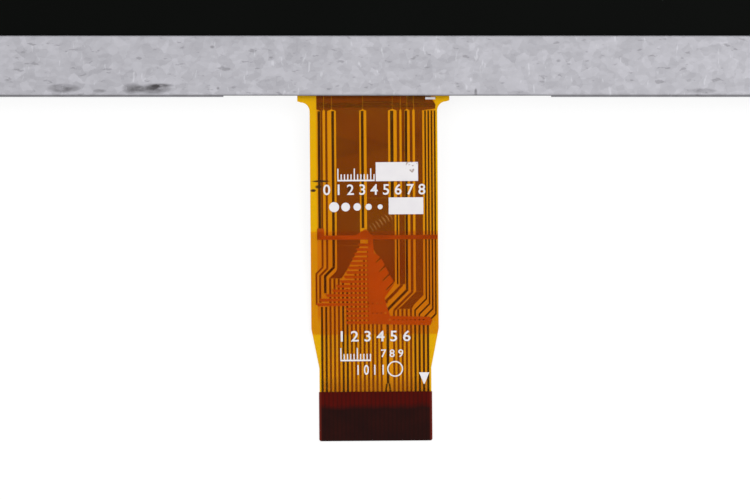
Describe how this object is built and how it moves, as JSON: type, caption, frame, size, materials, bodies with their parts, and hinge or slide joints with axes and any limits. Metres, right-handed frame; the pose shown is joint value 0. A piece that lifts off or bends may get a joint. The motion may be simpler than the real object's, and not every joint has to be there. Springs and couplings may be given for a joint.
{
  "type": "tft display module",
  "caption": "Rectangular TFT display module in a folded steel bezel, edge-lit, with a flexible printed tail for a zero-insertion-force connector.",
  "frame": {"origin": "centre of the module's rear face, on which it lies", "axes": "+X to the right seen from the front, +Y away from the flexible tail, +Z out of the screen"},
  "size_m": [0.165, 0.1691, 0.006],
  "materials": {
    "bezel_steel": "zinc-coated sheet with a fine spangle",
    "cover_steel": "zinc-coated sheet",
    "foam": "closed-cell foam strip",
    "screen_black": "anti-glare polariser",
    "cell_glass": "clear",
    "rear_polarizer": "satin",
    "chip": "polished silicon",
    "white_frame": "moulded, satin",
    "black_tape": "matte film",
    "optical_film": "fine prisms",
    "diffuser_film": "frosted",
    "acrylic": "clear acrylic",
    "reflector": "white, satin",
    "led_board": "solder-masked strip",
    "led": "white body",
    "bond_tape": "conductive adhesive",
    "polyimide": "amber film, satin gloss",
    "signal_copper": "copper under amber film",
    "power_copper": "heavy copper under amber film",
    "jumper_copper": "copper under thin coverlay",
    "patch_film": "thin amber coverlay",
    "rear_film": "amber coverlay",
    "stiffener": "dark red-brown film",
    "white_ink": "screen-printed"
  },
  "bodies": {
    "root": {"front_bezel": "bezel_steel", "bezel_cushion": "foam", "front_polarizer": "screen_black", "colour_filter_glass": "cell_glass", "tft_glass": "cell_glass", "rear_polarizer": "rear_polarizer", "source_driver_chips": "chip", "gate_driver_chip": "chip", "mould_frame": "white_frame", "rim_tape": "black_tape", "upper_diffuser": "diffuser_film", "upper_prism_sheet": "optical_film", "lower_prism_sheet": "optical_film", "lower_diffuser": "diffuser_film", "light_guide": "acrylic", "reflector_sheet": "reflector", "led_board": "led_board", "leds": "led", "rear_cover": "cover_steel", "flex_bond_tape": "bond_tape", "flex_base_film": "polyimide", "flex_signal_traces": "signal_copper", "flex_power_traces": "power_copper", "flex_jumpers": "jumper_copper", "flex_front_coverlay": "patch_film", "flex_rear_coverlay": "rear_film", "flex_stiffener": "stiffener", "flex_legend": "white_ink"}
  },
  "joints": []
}
